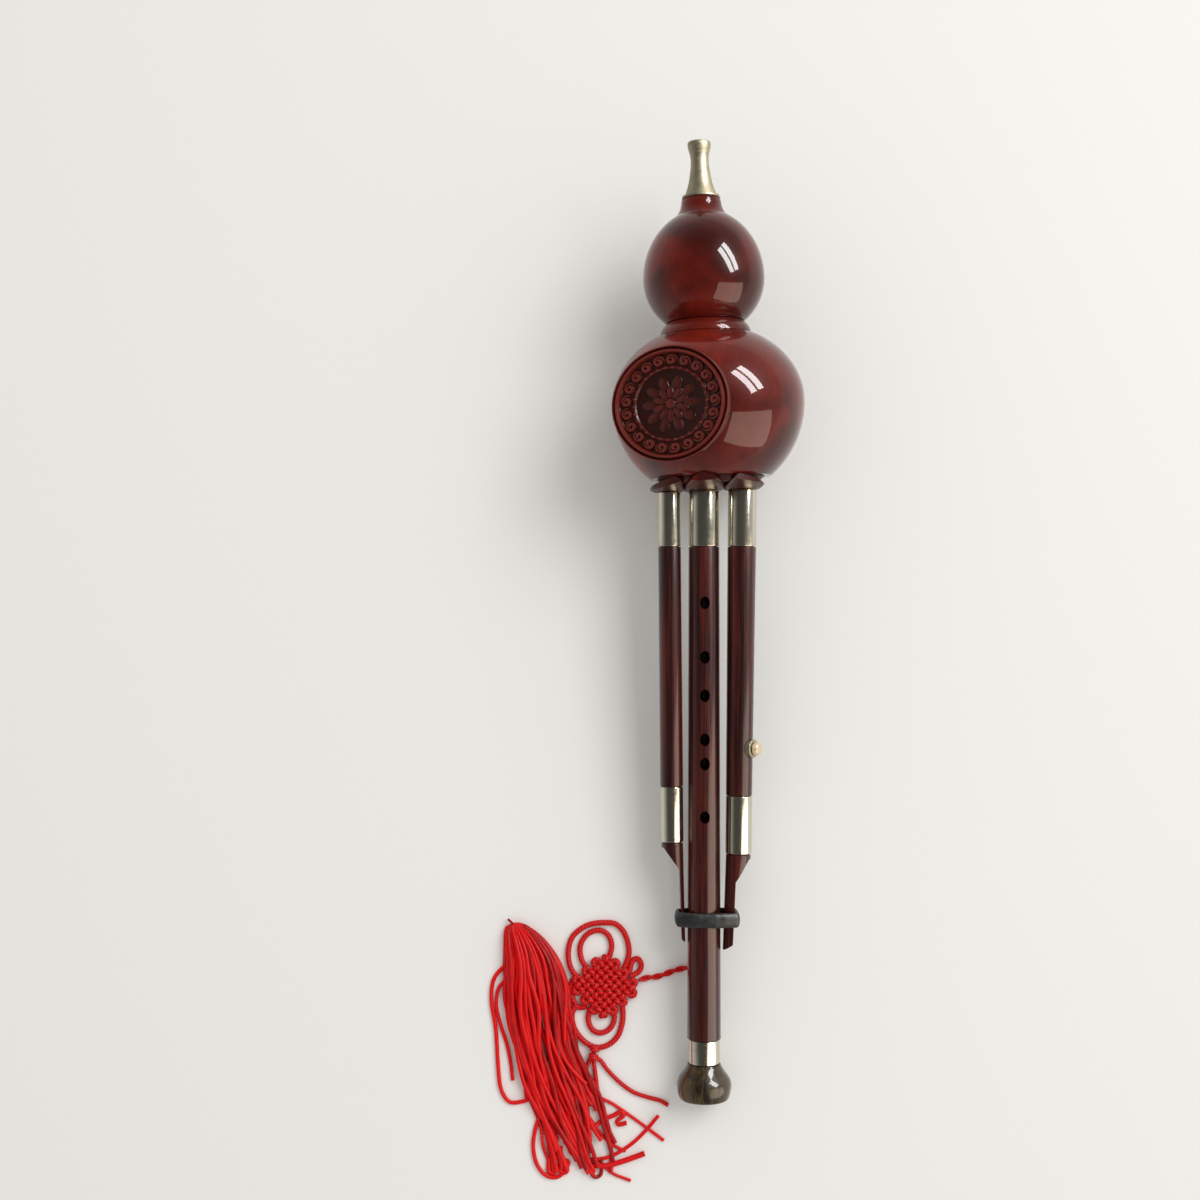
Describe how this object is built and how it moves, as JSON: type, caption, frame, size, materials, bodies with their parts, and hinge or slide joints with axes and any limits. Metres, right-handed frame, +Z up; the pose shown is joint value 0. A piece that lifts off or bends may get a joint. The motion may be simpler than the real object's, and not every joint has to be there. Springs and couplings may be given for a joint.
{
  "type": "hulusi",
  "caption": "Gourd flute lying down: double-bulb gourd wind chest with mouthpiece, finger-hole pipe between side pipes, flared bell, and a red knot with a tassel.",
  "frame": {"origin": "on the floor under the middle of the lying instrument, its cord and tassel left out", "axes": "+Y along the instrument towards the mouthpiece, +Z up through the finger holes, +X to the drone pipe's side"},
  "size_m": [0.1429, 0.4671, 0.0902],
  "materials": {
    "gourd_lacquer": "clear glossy lacquer over a dark red stain",
    "carved_wood": "very dark red carving under the same lacquer",
    "pipe_wood": "satin lacquer over dark red wood with a fine lengthwise grain",
    "ferrule_nickel": "polished nickel plate",
    "mouthpiece_metal": "pale satin plate over brass",
    "reed_brass": "bare drawn brass",
    "bell_horn": "glossy dark olive brown horn",
    "stopper_ivory": "polished cream, warm at the rim",
    "black_rubber": "smooth black rubber with a soft sheen",
    "cork": "bare cork",
    "red_cord": "bright red twisted yarn with a soft sheen"
  },
  "bodies": {
    "gourd_body": {"gourd_lower_shell": "gourd_lacquer", "gourd_upper_shell": "gourd_lacquer", "waist_ring": "gourd_lacquer", "medallion": "carved_wood", "pipe_seat": "carved_wood", "main_reed_tube": "reed_brass", "main_reed_plate": "reed_brass", "main_reed_cap": "reed_brass", "main_seal_ring": "black_rubber", "drone_reed_tube": "reed_brass", "drone_reed_plate": "reed_brass", "drone_reed_cap": "reed_brass", "drone_seal_ring": "black_rubber", "drone_ferrule_top": "ferrule_nickel", "drone_pipe": "pipe_wood", "drone_ferrule_lower": "ferrule_nickel", "drone_tail": "pipe_wood", "stopper_bush": "mouthpiece_metal", "mute_dowel": "pipe_wood", "mute_ferrule_top": "ferrule_nickel", "mute_pipe": "pipe_wood", "mute_ferrule_lower": "ferrule_nickel", "mute_tail": "pipe_wood", "rubber_ring": "black_rubber"},
    "main_pipe_body": {"main_ferrule_top": "ferrule_nickel", "main_pipe": "pipe_wood", "main_ferrule_bottom": "ferrule_nickel", "bell": "bell_horn", "tassel_cord": "red_cord", "chinese_knot": "red_cord", "tassel_link": "red_cord", "tassel_head": "red_cord", "tassel_skirt": "red_cord"},
    "mouthpiece_body": {"mouthpiece": "mouthpiece_metal", "mouthpiece_cork": "cork"},
    "stopper_body": {"drone_stopper": "stopper_ivory"}
  },
  "joints": [
    {"name": "tuning_slide", "type": "slide", "parent": "gourd_body", "child": "main_pipe_body", "axis": [0, -0.9949, -0.1008], "range_m": [0, 0.006]},
    {"name": "mouthpiece_slide", "type": "slide", "parent": "gourd_body", "child": "mouthpiece_body", "axis": [-0.0349, 0.9943, 0.1008], "range_m": [0, 0.01]},
    {"name": "stopper_slide", "type": "slide", "parent": "gourd_body", "child": "stopper_body", "axis": [0.8386, -0.0644, 0.5409], "range_m": [0, 0.0045]}
  ]
}
